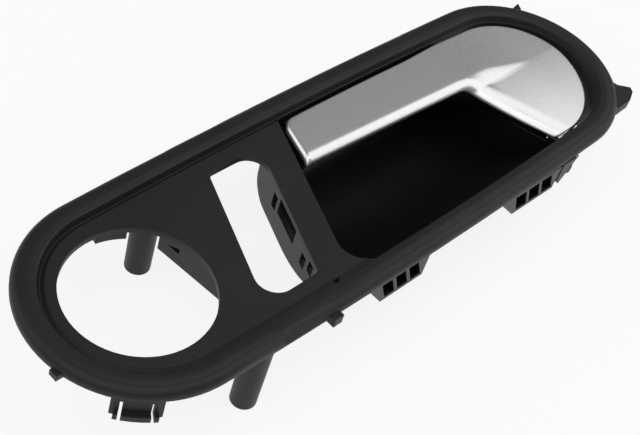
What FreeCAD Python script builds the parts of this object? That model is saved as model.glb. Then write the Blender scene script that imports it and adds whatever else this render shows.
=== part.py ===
import FreeCAD
import Part
import math
import os

# Interior door pull: an oval bezel with a round switch hole, a slanted slot and a sprung pull lever
# over a finger cup. Millimetres. X runs along the oval, from the round hole (-X) to the hinge (+X).
# Z points out of the face towards the hand, and Z = 0 is the foot of the bezel, on the door trim.
# The part lies on its back on the tips of its posts, the cup floor and the cable seat.

Vec = FreeCAD.Vector
X_AXIS = Vec(1, 0, 0)
Y_AXIS = Vec(0, 1, 0)
Z_AXIS = Vec(0, 0, 1)

# Bezel outline and rim section
LENGTH = 246.0
WIDTH = 76.5
SIDE_BULGE = 1.35
END_RADIUS = WIDTH / 2 - SIDE_BULGE
EDGE_HEIGHT = 1.0
RIM_HEIGHT = 3.8
RIM_BAND = 8.2
RIM_SHOULDER = 3.0
CROWN_SAG = 0.25
BROW_WIDTH = 1.9
BROW_LIP = 0.8
BROW_DROP = 1.0
GROOVE_Z = 1.1
GROOVE_FLOOR = 0.5
GROOVE_WIDTH = 1.4
DECK_LAP = 0.2
DECK_Z = 2.0
SKIN = 1.8
BACK_DEPTH = 30.0

# Round switch hole, slanted slot and lever opening
SLANT = 0.41
HOLE_SET = 1.8
HOLE_X = END_RADIUS - LENGTH / 2 - HOLE_SET
HOLE_RADIUS = 22.7
SLOT_LEFT = -51.4
SLOT_WIDTH = 21.6
SLOT_NEAR = -24.2
SLOT_FAR = 23.2
SLOT_BIG_CORNER = 6.5
SLOT_SMALL_CORNER = 3.0
OPENING_LEFT = -19.0
OPENING_SIDE_INSET = 8.3
OPENING_END_INSET = 8.6
OPENING_NEAR_CORNER = 8.0
OPENING_FAR_CORNER = 3.0

# Parts of the bezel behind the face
POST_RADIUS = 4.5
POST_TIP_RADIUS = 4.2
POST_PILOT_RADIUS = 1.6
POST_PILOT_DEPTH = 14.0
FAR_POST = (-63.0, 25.3)
NEAR_POST = (-68.8, -31.6)
BOSS_RADIUS = 2.8
BOSS_DEPTH = 6.0
BOSS_GAP = 0.2
BOSS_FAR_X = (-8.0, 64.0)
BOSS_NEAR_BACK = 2.0
BOSS_NEAR_SET = 0.6
BOSS_LEFT_Y = -28.5
BOSS_LEFT_SET = 1.5
SWITCH_WALL_DEPTH = 10.6
SWITCH_WALL_SLOPE = 0.147
SWITCH_WALL_Y = (-16.0, 17.6)
SWITCH_WINDOW = ((8.8, -5.0), (13.8, -7.6), (8.8, -7.2))
SWITCH_CLIP_GAP = 1.8
SWITCH_CLIP_DEG = (58.0, 80.0)
SWITCH_CLIP_DEPTH = 5.0
END_SKIRT_DEPTH = 16.0
END_SKIRT_WALL = 1.6
END_SKIRT_DEG = (-87.0, 20.0)
END_SKIRT_FADE_Y = (-8.0, 12.0)
TAB_DEPTH = 8.0
TAB_WALL = 1.8
TAB_START_DEG = 217.5
TAB_END_DEG = 240.5
TAB_SET = 0.4
TAB_BARB = 1.6
TAB_BARB_HEIGHT = 2.2
TAB_BARB_INSET_DEG = 2.0
TAB_SLIT_DEG = 1.3
TAB_SLIT_INSET_DEG = 4.0
TAB_SLIT_TOP = -1.5

# Flat locating lugs as radius past the end and angle, and two small ribs
LUG_LOW = -3.2
LUG_ROOT = -1.5
RIGHT_LUG = ((LUG_ROOT, -31), (2.0, -36.5), (7.0, -37.5), (7.3, -40.5), (5.6, -46.5), (1.6, -54),
             (LUG_ROOT, -60))
RIGHT_LUG_TOP = 0.8
TOP_LUG = ((LUG_ROOT, 37), (3.2, 38.5), (5.7, 40), (0.7, 44.5), (LUG_ROOT, 46))
TOP_LUG_TOP = 0.6
RIB_X = (-47.0, -43.5)
RIB_REACH = 1.2
RIB_LOW = -3.0
NUB_Y = (-9.5, -6.5)
NUB_REACH = 0.3
NUB_LOW = -1.6
RIB_ROOT = 3.0

# Finger cup
CUP_WALL = 2.0
CUP_FLOOR_NEAR = 6.0
CUP_FAR_CORNER = 9.0
CUP_FAR_DRAFT = 2.6
CUP_FLARE = 0.3
CUP_RIGHT = 76.0
WALL_BEND_Y = -12.0
WALL_LEAN = 0.36
WALL_RELIEF_Y = -27.3
WALL_CORNER_X = 77.0
WALL_CORNER_Z = -5.5
FOOT_GAP = 0.4
WALL_STEP_Y = -23.4
CLIP_DEPTH = 11.0
CLIP_SETBACK = 0.6
CLIP_REACH = 6.3
CLIP_RIB = 1.4
CLIP_BAYS = 3
CLIP_LEAN = 0.35
CLIP_TOP = -0.3
CLIP_TOWERS = ((-30.5, -22.0, -2.5), (33.0, 43.5, 66.0))
CLIP_GUIDE_BACK = (8.8, 6.5, 0.5)
CLIP_GUIDE_DEPTH = 8.8
LATCH_WINDOWS = ((14.2, 17.0, -23.0, -17.0), (-0.5, 12.5, -21.5, -14.5), (-9.6, -6.6, -22.5, -17.5),
                 (-14.4, -11.5, -20.0, -15.5))
CUP_TAB_RIM = 0.4
CUP_TAB_WEB = 2.6

# Lever
LEVER_GAP = 1.3
LEVER_END_GAP = 1.9
LEVER_PLATE_GAP = 1.9
LEVER_TOP = 2.3
LEVER_BAR_NEAR = 8.6
LEVER_BAR_TAPER = 0.045
LEVER_CORNER_X = 61.0
LEVER_NOTCH_X = 66.1
LEVER_NOTCH_RADIUS = 20.0
LEVER_TIP_X = 79.8
LEVER_TIP_Y = -26.5
LEVER_ROLL = 3.0
LEVER_ROLL_FALL = 3.5
LEVER_FOOT_Z = -2.5
LEVER_FOOT_SLOPE = 0.055
LEVER_SKIN = 1.4
SIDE_SKIN = 0.7
LEVER_EDGE_ROLL = (2.8, 1.2)
LEVER_START_X = -31.0
LEVER_STATION = 5.0
LEVER_STATIONS = 32
CREASE_END_X = 98.0
CREASE_END_Y = 4.2
CREASE_FOOT_Y = 3.9
CREASE_BEND = 4
PLATE_RIDGE_Z = 0.65
RIDGE_STEP = 0.05
PLATE_FAR_Z = 2.1
PLATE_NEAR_SET = 6.0
PLATE_MIDDLE_SET = 2.0
ROLL_FULLNESS = 0.75
PLATE_MIDDLE_Z = (-1.6, -0.6)
PLATE_NEAR_Z = (-3.2, -2.4)
CARRIER_DROP = 2.6
CARRIER_INSET = 0.5
CARRIER_RIM = 3.5
POCKET_X = ((92.5, 99.0), (100.8, 107.5))
POCKET_Y = ((-14.0, -7.0), (-5.2, 2.0), (3.8, 11.0), (12.8, 17.0))
POCKET_WALL = 2.4
JOINT_GAP = 0.1

# Hinge, spring and cable arm
PIVOT_SET = 6.0
PIVOT_X = CUP_RIGHT + PIVOT_SET
PIVOT_Z = -8.6
PIN_RADIUS = 1.5
PIN_CLEARANCE = 0.04
BUSH_WALL = 0.7
BUSH_FLANGE = 0.5
BUSH_FLANGE_RIM = 0.8
PIN_HEAD = (1.2, 1.0)
PIN_HEAD_GAP = 0.1
PIN_TIP = 1.8
PIN_CLIP_RIM = 1.5
PIN_CLIP_THICKNESS = 0.6
PIN_CLIP_GAP = 0.15
PIN_CLIP_MOUTH = 0.9
PIN_CLIP_THROAT = 1.1
EAR_RADIUS = 3.6
EAR_WALL = 2.5
EAR_GUSSET = 4.0
EAR_DROP = 0.6
NEAR_EAR_Y = -9.5
FAR_EAR_Y = 9.1
SIDE_PLAY = 0.25
KNUCKLE_WIDTH = 4.0
KNUCKLE_RADIUS = 3.3
OPEN_ANGLE = 30.0
ARM_REACH = 9.0
ARM_DROP = 15.0
ARM_WIDTH = 5.0
ARM_END_RADIUS = 3.0
CABLE_EYE_RADIUS = 1.4
SPRING_WIRE = 0.5
SPRING_RADIUS = 2.7
SPRING_TURNS = 5
SPRING_PITCH = 1.2
SPRING_LEG = 9.5
SEAT_SET = 32.0
SEAT_X = PIVOT_X + SEAT_SET
SEAT_WALL = 3.5
SEAT_HEIGHT = 10.0
SEAT_SLOT = 5.0
SEAT_WIDTH = 16.0
SEAT_FLOOR = 2.0

# Rubber pads and screws
PAD_SIZE = 4.0
PAD_HEIGHT = 1.8
PAD_SHELF = 2.0
PAD_RIM = 0.9
PAD_ROUND = 0.4
PAD_TOP = -5.4
PAD_X = (46.0, -2.0)
PAD_Y = 25.2
PAD_POCKET = 1.0
PAD_FOOT_INSET = 0.5
PAD_GAP = 0.05
STOP_GAP = 0.2
SCREW_RADIUS = 1.3
SCREW_LENGTH = 7.2
SCREW_HEAD_RATIO = 2.0
SCREW_HEAD_DEPTH = 1.25
SCREW_HEAD_ROUND = 0.4
RECESS_REACH = 0.5
RECESS_BLADE = 0.3
SCREW_COVER = 0.6
LEVER_SCREW_RADIUS = 1.0
LEVER_BOSS_RADIUS = 2.2
LEVER_BOSS_TOP = 0.6
LEVER_PILOT_TOP = 0.9
LEVER_SCREW_TOP = 1.0
LEVER_HEAD_RECESS = 0.2
LEVER_SCREW_WEB = 0.9
CUP_EAR_THICKNESS = 2.0
LEVER_SCREW_X = (8.0, 52.0)
LEVER_SCREW_Y = 19.5

# Helpers: a length past everything, what tells the notch edge apart, and the rise of a quarter turn's middle
TALL = 80.0
UPRIGHT = 0.9
NOTCH_EDGE_SHIFT = (1.0, -5.0)
EDGE_ABOVE_FOOT = 0.5
ARC_RISE = math.sin(math.radians(45))
HALF_LENGTH = LENGTH / 2
HALF_WIDTH = WIDTH / 2
END_CENTRE_X = HALF_LENGTH - END_RADIUS


def box(x0, x1, y0, y1, z0, z1):
    return Part.makeBox(x1 - x0, y1 - y0, z1 - z0, Vec(x0, y0, z0))


def rod(radius, start, end):
    """Round bar from one point to another."""
    run = Vec(*end) - Vec(*start)
    return Part.makeCylinder(radius, run.Length, Vec(*start), run)


def fuse(shapes):
    return shapes[0].multiFuse(shapes[1:]).removeSplitter()


def prism(points, z0, z1):
    """Straight-sided block over a polygon of X, Y points."""
    loop = [Vec(x, y, z0) for x, y in points]
    face = Part.Face(Part.makePolygon(loop + loop[:1]))
    return face.extrude(Vec(0, 0, z1 - z0))


def across_x(points, x0, x1):
    """Block along X over a polygon of Y, Z points."""
    loop = [Vec(x0, y, z) for y, z in points]
    return Part.Face(Part.makePolygon(loop + loop[:1])).extrude(Vec(x1 - x0, 0, 0))


def across_y(points, y0, y1):
    """Block along Y over a polygon of X, Z points."""
    loop = [Vec(x, y0, z) for x, z in points]
    return Part.Face(Part.makePolygon(loop + loop[:1])).extrude(Vec(0, y1 - y0, 0))


def rounded_prism(points, radii, z0, z1):
    """Block over a polygon whose corners are rounded by the given radii."""
    solid = prism(points, z0, z1)
    for (x, y), radius in zip(points, radii):
        edges = [e for e in solid.Edges if all(math.hypot(v.X - x, v.Y - y) < 1e-4 for v in e.Vertexes)]
        if radius > 0 and edges:
            solid = solid.makeFillet(radius, edges)
    return solid


def oval_numbers(side_inset, end_inset):
    """Half length, half width, end radius, side radius and end centre of an inset oval."""
    half_length = HALF_LENGTH - end_inset
    half_width = HALF_WIDTH - side_inset
    end_radius = END_RADIUS - (side_inset + end_inset) / 2
    centre_x = half_length - end_radius
    bulge = half_width - end_radius
    side_radius = (centre_x ** 2 + half_width ** 2 - end_radius ** 2) / (2 * bulge)
    return half_length, half_width, end_radius, side_radius, centre_x


def oval_prism(side_inset, end_inset, z0, z1):
    """Block over an oval of four tangent arcs."""
    half_length, half_width, end_radius, side_radius, centre_x = oval_numbers(side_inset, end_inset)
    reach = end_radius / (side_radius - end_radius)
    tx = centre_x * (1 + reach)
    ty = (side_radius - half_width) * reach
    corners = [(-tx, ty), (tx, ty), (tx, -ty), (-tx, -ty)]
    middles = [(0, half_width), (half_length, 0), (0, -half_width), (-half_length, 0)]
    arcs = []
    for index, middle in enumerate(middles):
        start = Vec(*corners[index], z0)
        end = Vec(*corners[(index + 1) % 4], z0)
        arcs.append(Part.Arc(start, Vec(*middle, z0), end).toShape())
    return Part.Face(Part.Wire(arcs)).extrude(Vec(0, 0, z1 - z0))


def slanted_line(base_x, y):
    """X of a line that leans with the slot, at a given Y."""
    return base_x + SLANT * y


def around_rim(profile):
    """Carry a closed section, given as edges in inset U and height Z, round the whole oval."""
    centre_y = HALF_WIDTH - oval_numbers(0, 0)[3]
    sweep = math.degrees(math.atan2(END_CENTRE_X, -centre_y))
    side = Part.Face(Part.Wire(profile))
    side.rotate(Vec(), Z_AXIS, -90)
    side.translate(Vec(0, HALF_WIDTH, 0))
    side.rotate(Vec(0, centre_y, 0), Z_AXIS, sweep)
    far_side = side.revolve(Vec(0, centre_y, 0), Z_AXIS, -2 * sweep)
    end = Part.Face(Part.Wire(profile))
    end.rotate(Vec(), Z_AXIS, 180)
    end.translate(Vec(HALF_LENGTH, 0, 0))
    end.rotate(Vec(END_CENTRE_X, 0, 0), Z_AXIS, 90 - sweep)
    right_end = end.revolve(Vec(END_CENTRE_X, 0, 0), Z_AXIS, -2 * (90 - sweep))
    pieces = [far_side, right_end]
    for piece in (far_side, right_end):
        turned = piece.copy()
        turned.rotate(Vec(), Z_AXIS, 180)
        pieces.append(turned)
    return fuse(pieces)


def line(p, q):
    return Part.LineSegment(Vec(p[0], 0, p[1]), Vec(q[0], 0, q[1])).toShape()


def arc(p, m, q):
    return Part.Arc(Vec(p[0], 0, p[1]), Vec(m[0], 0, m[1]), Vec(q[0], 0, q[1])).toShape()


def rim_crown():
    """Crowned rim, solid down to its foot, with the groove that parts it from the deck."""
    shoulder_z = RIM_HEIGHT - CROWN_SAG
    inner_u = RIM_BAND - BROW_WIDTH
    brow_u = RIM_BAND - BROW_LIP
    brow_z = RIM_HEIGHT - BROW_DROP
    deck_u = RIM_BAND + GROOVE_WIDTH
    foot = (0, 0)
    edge = (0, EDGE_HEIGHT)
    knee = (RIM_SHOULDER * (1 - ARC_RISE), EDGE_HEIGHT + (shoulder_z - EDGE_HEIGHT) * ARC_RISE)
    shoulder = (RIM_SHOULDER, shoulder_z)
    crown = ((RIM_SHOULDER + inner_u) / 2, RIM_HEIGHT)
    inner = (inner_u, shoulder_z)
    brow_bend = (inner_u + (brow_u - inner_u) * ARC_RISE, brow_z + (shoulder_z - brow_z) * ARC_RISE)
    brow = (brow_u, brow_z)
    groove = [(RIM_BAND - GROOVE_FLOOR / 2, GROOVE_Z), (RIM_BAND + GROOVE_FLOOR / 2, GROOVE_Z)]
    deck = (deck_u, DECK_Z)
    deck_foot = (deck_u, 0)
    profile = [line(foot, edge), arc(edge, knee, shoulder), arc(shoulder, crown, inner)]
    profile += [arc(inner, brow_bend, brow), line(brow, groove[0]), line(groove[0], groove[1])]
    profile += [line(groove[1], deck), line(deck, deck_foot), line(deck_foot, foot)]
    return around_rim(profile)


def rim_hollow():
    """Hollow under the crown that leaves an even skin."""
    outer_u = SKIN
    inner_u = RIM_BAND - SKIN
    top = RIM_HEIGHT - SKIN
    outer_top = (RIM_SHOULDER + CROWN_SAG, top - CROWN_SAG)
    inner_top = (inner_u - SKIN / 2, top - CROWN_SAG)
    crown = ((outer_top[0] + inner_top[0]) / 2, top)
    shoulder = (outer_u, EDGE_HEIGHT / 2)
    profile = [line((outer_u, -1), shoulder), line(shoulder, outer_top), arc(outer_top, crown, inner_top)]
    profile += [line(inner_top, (inner_u, -1)), line((inner_u, -1), (outer_u, -1))]
    return around_rim(profile)


def opening_prism(grow, z0, z1):
    """Block in the shape of the lever opening, grown outwards by a wall."""
    oval = oval_prism(OPENING_SIDE_INSET - grow, OPENING_END_INSET - grow, z0, z1)
    left = OPENING_LEFT - grow * math.hypot(1, SLANT)
    keep = prism([(slanted_line(left, -TALL), -TALL), (2 * HALF_LENGTH, -TALL),
                  (2 * HALF_LENGTH, TALL), (slanted_line(left, TALL), TALL)], z0, z1)
    solid = oval.common(keep)
    upright = [e for e in solid.Edges if abs(e.tangentAt(e.FirstParameter).z) > 0.99]
    near = min(upright, key=lambda e: e.CenterOfMass.x + e.CenterOfMass.y)
    solid = solid.makeFillet(OPENING_NEAR_CORNER + grow, [near])
    upright = [e for e in solid.Edges if abs(e.tangentAt(e.FirstParameter).z) > 0.99]
    far = min(upright, key=lambda e: e.CenterOfMass.x - 2 * e.CenterOfMass.y)
    return solid.makeFillet(OPENING_FAR_CORNER + grow, [far])


def slot_prism(grow, z0, z1):
    """Block in the shape of the slanted slot."""
    left = SLOT_LEFT - grow
    right = SLOT_LEFT + SLOT_WIDTH + grow
    near = SLOT_NEAR - grow
    far = SLOT_FAR + grow
    points = [(slanted_line(left, near), near), (slanted_line(right, near), near),
              (slanted_line(right, far), far), (slanted_line(left, far), far)]
    radii = [SLOT_BIG_CORNER, SLOT_SMALL_CORNER, SLOT_BIG_CORNER, SLOT_SMALL_CORNER]
    return rounded_prism(points, [r + grow for r in radii], z0, z1)


def polar(radius, degrees, centre_x):
    angle = math.radians(degrees)
    return centre_x + radius * math.cos(angle), radius * math.sin(angle)


def ring_sector(centre_x, inner, outer, start, end, z0, z1):
    """Upright curved wall between two angles."""
    ring = Part.makeCylinder(outer, z1 - z0, Vec(centre_x, 0, z0), Z_AXIS, end - start)
    ring = ring.cut(Part.makeCylinder(inner, z1 - z0, Vec(centre_x, 0, z0)))
    ring.rotate(Vec(centre_x, 0, 0), Z_AXIS, start)
    return ring


def cup_screw_places():
    """Boss centres round the cup, outside its walls."""
    side = HALF_WIDTH - OPENING_SIDE_INSET + CUP_WALL + BOSS_RADIUS + BOSS_GAP
    wall_x = slanted_line(OPENING_LEFT, BOSS_LEFT_Y) - CUP_WALL
    places = [(x, side) for x in BOSS_FAR_X]
    places.append((wall_x - BOSS_RADIUS - BOSS_LEFT_SET, BOSS_LEFT_Y))
    places.append((CUP_RIGHT - BOSS_NEAR_BACK, BOSS_NEAR_SET - side))
    return places


def post(x, y):
    """Tapered round post with a pilot hole for a trim screw in its tip."""
    shaft = Part.makeCone(POST_TIP_RADIUS, POST_RADIUS, BACK_DEPTH + 1, Vec(x, y, -BACK_DEPTH))
    pilot = rod(POST_PILOT_RADIUS, (x, y, -BACK_DEPTH), (x, y, -BACK_DEPTH + POST_PILOT_DEPTH))
    return shaft.cut(pilot)


def screw_boss(x, y):
    return rod(BOSS_RADIUS, (x, y, -BOSS_DEPTH), (x, y, RIM_HEIGHT))


def switch_wall():
    """Straight wall beside the round hole, with a sloping foot and a small corner window."""
    x0 = HOLE_X + HOLE_RADIUS + 1.0
    near, far = SWITCH_WALL_Y
    foot = [-SWITCH_WALL_DEPTH - SWITCH_WALL_SLOPE * y for y in SWITCH_WALL_Y]
    wall = across_x([(near, 1), (near, foot[0]), (far, foot[1]), (far, 1)], x0, x0 + SKIN)
    return wall.cut(across_x(SWITCH_WINDOW, x0 - 1, x0 + 2 * SKIN))


def switch_clip():
    """Short curved wall at the far side of the round hole."""
    inner = HOLE_RADIUS + SWITCH_CLIP_GAP
    return ring_sector(HOLE_X, inner, inner + SKIN, *SWITCH_CLIP_DEG, -SWITCH_CLIP_DEPTH, 1)


def end_skirt():
    """Deep inner wall round the near half of the hinge end; it fades out past the axis."""
    _, _, radius, _, centre_x = oval_numbers(OPENING_SIDE_INSET, OPENING_END_INSET)
    low = -END_SKIRT_DEPTH
    wall = ring_sector(centre_x, radius, radius + END_SKIRT_WALL, *END_SKIRT_DEG, low, DECK_Z - 1)
    start, end = END_SKIRT_FADE_Y
    return wall.cut(across_x([(start, low - 1), (TALL, low - 1), (TALL, 0), (end, 0)], 0, 2 * HALF_LENGTH))


def snap_tab():
    """Barbed tab at the round end, slit near both ends so that it can spring."""
    outer = END_RADIUS - TAB_SET
    inner = outer - TAB_WALL
    low = -TAB_DEPTH
    start, end = TAB_START_DEG, TAB_END_DEG
    wall = ring_sector(-END_CENTRE_X, inner, outer, start, end, low, EDGE_HEIGHT)
    barb = ring_sector(-END_CENTRE_X, inner, outer + TAB_BARB, start + TAB_BARB_INSET_DEG,
                       end - TAB_BARB_INSET_DEG, low, low + TAB_BARB_HEIGHT)
    tab = fuse([wall, barb])
    for angle in (start + TAB_SLIT_INSET_DEG, end - TAB_SLIT_INSET_DEG - TAB_SLIT_DEG):
        slit = ring_sector(-END_CENTRE_X, inner - 1, outer + 2 * TAB_BARB, angle, angle + TAB_SLIT_DEG,
                           low - 1, TAB_SLIT_TOP)
        tab = tab.cut(slit)
    return tab


def edge_lug(points, top):
    """Flat locating lug that stands out of the hinge end, from polar corners."""
    corners = [polar(END_RADIUS + reach, degrees, END_CENTRE_X) for reach, degrees in points]
    return prism(corners, LUG_LOW, top)


def locating_features():
    """Lugs, rib and nub round the rim that place the bezel in the trim."""
    near = -HALF_WIDTH
    left = -HALF_LENGTH
    return [edge_lug(RIGHT_LUG, RIGHT_LUG_TOP), edge_lug(TOP_LUG, TOP_LUG_TOP),
            box(*RIB_X, near - RIB_REACH, near + RIB_ROOT, RIB_LOW, TOP_LUG_TOP),
            box(left - NUB_REACH, left + RIB_ROOT, *NUB_Y, NUB_LOW, TOP_LUG_TOP)]


def bezel():
    crown = rim_crown()
    inset = RIM_BAND + GROOVE_WIDTH - DECK_LAP
    deck = oval_prism(inset, inset, 0, DECK_Z)
    face = fuse([crown, deck])
    envelope = fuse([face, box(-HALF_LENGTH, HALF_LENGTH, -HALF_WIDTH, HALF_WIDTH, -TALL, 0)])
    fixings = [post(*FAR_POST), post(*NEAR_POST)] + [screw_boss(x, y) for x, y in cup_screw_places()]
    fixings = [fixing.common(envelope) for fixing in fixings]
    shell = face.cut(rim_hollow())
    shell = shell.cut(rod(HOLE_RADIUS, (HOLE_X, 0, -1), (HOLE_X, 0, TALL)))
    shell = shell.cut(slot_prism(0, -1, TALL))
    walls = [switch_wall(), switch_clip(), end_skirt(), snap_tab()] + locating_features()
    body = fuse([shell] + fixings + walls)
    body = body.cut(opening_prism(0, -1, TALL))
    for x, y in cup_screw_places():
        body = body.cut(rod(SCREW_RADIUS, (x, y, -BOSS_DEPTH), (x, y, DECK_Z - SCREW_COVER)))
    return body


def bowl_section(inset, x0, x1):
    """Bowl of the cup as a bar along X: upright far wall, flat floor, long round near side."""
    floor = -BACK_DEPTH + inset
    far_top = HALF_WIDTH - OPENING_SIDE_INSET + CUP_WALL + CUP_FLARE - inset
    far_low = far_top - CUP_FAR_DRAFT
    near_top = -far_top
    near_run = CUP_FLOOR_NEAR - near_top
    radius = (near_run ** 2 + floor ** 2) / (-2 * floor)
    half_run = near_run / 2
    near_mid = (CUP_FLOOR_NEAR - half_run, floor + radius - math.sqrt(radius ** 2 - half_run ** 2))
    corner = CUP_FAR_CORNER - inset
    far_foot = (far_low, floor + corner)
    floor_end = (far_low - corner, floor)
    bend = (far_low - corner * (1 - ARC_RISE), floor + corner * (1 - ARC_RISE))
    points = [(far_top, 0), far_foot, floor_end, (CUP_FLOOR_NEAR, floor), (near_top, 0)]
    v = [Vec(x0, y, z) for y, z in points]
    edges = [Part.LineSegment(v[0], v[1]).toShape(),
             Part.Arc(v[1], Vec(x0, *bend), v[2]).toShape(),
             Part.LineSegment(v[2], v[3]).toShape(),
             Part.Arc(v[3], Vec(x0, *near_mid), v[4]).toShape(),
             Part.LineSegment(v[4], v[0]).toShape()]
    return Part.Face(Part.Wire(edges)).extrude(Vec(x1 - x0, 0, 0))


def lever_foot_z(y):
    """Height of the lever shell's lower edge, which falls towards the near side."""
    return LEVER_FOOT_Z + LEVER_FOOT_SLOPE * (y - LEVER_BAR_NEAR)


def carrier_foot_z(y):
    return lever_foot_z(y) - CARRIER_DROP


def wall_relief():
    """Space over the cup's right wall that the lever needs, under its slanting foot."""
    far = HALF_WIDTH
    step = WALL_STEP_Y
    near = WALL_RELIEF_Y
    points = [(near, 1), (near, lever_foot_z(near) - FOOT_GAP), (step, lever_foot_z(step) - FOOT_GAP),
              (step, carrier_foot_z(step) - FOOT_GAP), (far, carrier_foot_z(far) - FOOT_GAP), (far, 1)]
    under_plate = across_x(points, CUP_RIGHT - 3 * CUP_WALL, LENGTH)
    return under_plate.fuse(box(WALL_CORNER_X, LENGTH, -HALF_WIDTH, near, WALL_CORNER_Z, 1))


def inside_right_wall(shift):
    """Room left of the cup's right wall, which leans out under the plate's slanted edge."""
    x = CUP_RIGHT - shift
    near_x = x + WALL_LEAN * (TALL + WALL_BEND_Y)
    return prism([(-LENGTH, -TALL), (near_x, -TALL), (x, WALL_BEND_Y), (x, TALL), (-LENGTH, TALL)],
                 -BACK_DEPTH, 1)


def clip_tower(left_top, left_foot, right):
    """Open lattice on the near wall that springs into the door trim."""
    near = -HALF_WIDTH + CLIP_SETBACK
    low = -CLIP_DEPTH
    frame = across_y([(left_top, CLIP_TOP), (left_foot, low), (right, low), (right, CLIP_TOP)],
                     near, near + CLIP_REACH)
    pitch = (right - left_foot - CLIP_RIB) / CLIP_BAYS
    lean = CLIP_LEAN * CLIP_DEPTH
    for bay in range(CLIP_BAYS):
        start = left_foot + CLIP_RIB + bay * pitch
        end = start + pitch - CLIP_RIB
        pocket = across_y([(start - lean, -CLIP_RIB), (start, low + CLIP_RIB), (end, low + CLIP_RIB),
                           (end - lean, -CLIP_RIB)], near - 1, near + CLIP_REACH - CLIP_RIB)
        frame = frame.cut(pocket)
    return frame


def clip_guide():
    """Three-cornered rib that guides the last clip tower into the trim."""
    left, tip, right = [CUP_RIGHT - back for back in CLIP_GUIDE_BACK]
    near = -HALF_WIDTH + CLIP_SETBACK
    return across_y([(left, CLIP_TOP), (left, -CLIP_GUIDE_DEPTH), (tip, -CLIP_DEPTH), (right, CLIP_TOP)],
                    near, near + CLIP_RIB)


def left_wall_windows():
    """Latch windows through the slanted left wall, seen through the slot."""
    left = OPENING_LEFT - 3 * CUP_WALL
    right = OPENING_LEFT + CUP_WALL
    return [prism([(slanted_line(left, y0), y0), (slanted_line(right, y0), y0),
                   (slanted_line(right, y1), y1), (slanted_line(left, y1), y1)], z0, z1)
            for y0, y1, z0, z1 in LATCH_WINDOWS]


def cup_ear_tab(x, y):
    """Screw tab under a bezel boss, webbed to the nearest cup wall."""
    top = -BOSS_DEPTH
    low = top - CUP_EAR_THICKNESS
    disc = rod(BOSS_RADIUS + CUP_TAB_RIM, (x, y, low), (x, y, top))
    reach = BOSS_RADIUS + CUP_TAB_WEB
    if abs(y) > abs(BOSS_LEFT_Y) + BOSS_RADIUS:
        inward = -math.copysign(reach, y)
        web = box(x - BOSS_RADIUS, x + BOSS_RADIUS, min(y, y + inward), max(y, y + inward), low, top)
    else:
        web = box(x, x + 2 * reach, y - BOSS_RADIUS, y + BOSS_RADIUS, low, top)
    return disc.fuse(web)


def ear(y0):
    """Hinge ear that stands out of the cup's right wall."""
    low = PIVOT_Z - EAR_RADIUS
    wall = CUP_RIGHT - CUP_WALL
    corners = [Vec(wall, y0, low - EAR_GUSSET), Vec(PIVOT_X, y0, low), Vec(PIVOT_X, y0, PIVOT_Z),
               Vec(wall, y0, PIVOT_Z - EAR_DROP)]
    arm = Part.Face(Part.makePolygon(corners + corners[:1])).extrude(Vec(0, EAR_WALL, 0))
    eye = rod(EAR_RADIUS, (PIVOT_X, y0, PIVOT_Z), (PIVOT_X, y0 + EAR_WALL, PIVOT_Z))
    return arm.fuse(eye)


def knuckle_spans():
    """Y spans of the near knuckle, of the spring between them and of the arm's knuckle."""
    near_start = NEAR_EAR_Y + BUSH_FLANGE + SIDE_PLAY
    near = (near_start, near_start + KNUCKLE_WIDTH)
    far_end = FAR_EAR_Y - BUSH_FLANGE - SIDE_PLAY
    far = (far_end - ARM_WIDTH, far_end)
    return near, far


def arm_centre_y():
    far = knuckle_spans()[1]
    return (far[0] + far[1]) / 2


def cable_seat():
    """Floor rails and the upright fork that holds the end of a cable sheath."""
    middle = arm_centre_y()
    y0 = middle - SEAT_WIDTH / 2
    y1 = middle + SEAT_WIDTH / 2
    floor = box(CUP_RIGHT - CUP_WALL, SEAT_X + SEAT_WALL, y0, y1, -BACK_DEPTH, -BACK_DEPTH + SEAT_FLOOR)
    window = box(stop_face_x() - 1.5, PIVOT_X + ARM_REACH + 8, middle - ARM_WIDTH / 2 - 1.2,
                 middle + ARM_WIDTH / 2 + 1.2, -BACK_DEPTH - 1, -BACK_DEPTH + SEAT_FLOOR + 1)
    wall = box(SEAT_X, SEAT_X + SEAT_WALL, y0 + 2, y1 - 2, -BACK_DEPTH, -BACK_DEPTH + SEAT_HEIGHT)
    cable_z = PIVOT_Z - ARM_DROP - 1
    slot = box(SEAT_X - 1, SEAT_X + SEAT_WALL + 1, middle - SEAT_SLOT / 2, middle + SEAT_SLOT / 2, cable_z, 0)
    round_end = rod(SEAT_SLOT / 2, (SEAT_X - 1, middle, cable_z), (SEAT_X + SEAT_WALL + 1, middle, cable_z))
    rails = [box(CUP_RIGHT - CUP_WALL, SEAT_X + 1, y, y + 1.6, -BACK_DEPTH, -BACK_DEPTH + 4)
             for y in (y0, y1 - 1.6)]
    return fuse([floor.cut(window), wall.cut(slot).cut(round_end)] + rails)


def pad_base(x, grow, z0, z1):
    """Block over one rest pad's square, grown on every side."""
    half = PAD_SIZE / 2 + grow
    return box(x - half, x + half, PAD_Y - half, PAD_Y + half, z0, z1)


def pad_shelf(x):
    """Shelf on the far wall that carries a rubber rest pad."""
    low = PAD_TOP - PAD_HEIGHT - PAD_SHELF
    half = PAD_SIZE / 2 + PAD_RIM
    wall = HALF_WIDTH - OPENING_SIDE_INSET + CUP_WALL / 2
    return box(x - half, x + half, PAD_Y - half, wall, low, PAD_TOP - PAD_POCKET)


def pad_seat(x):
    """Pocket that a rest pad stands in."""
    return pad_base(x, 0, PAD_TOP - PAD_HEIGHT, 0)


def rest_pad(x):
    """Rubber block in a shelf pocket, with its crown just under the lever's foot."""
    pad = pad_base(x, 0, PAD_TOP - PAD_HEIGHT, PAD_TOP)
    top = [e for e in pad.Edges if e.CenterOfMass.z > PAD_TOP - 0.01]
    return pad.makeChamfer(PAD_ROUND, top)


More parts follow.
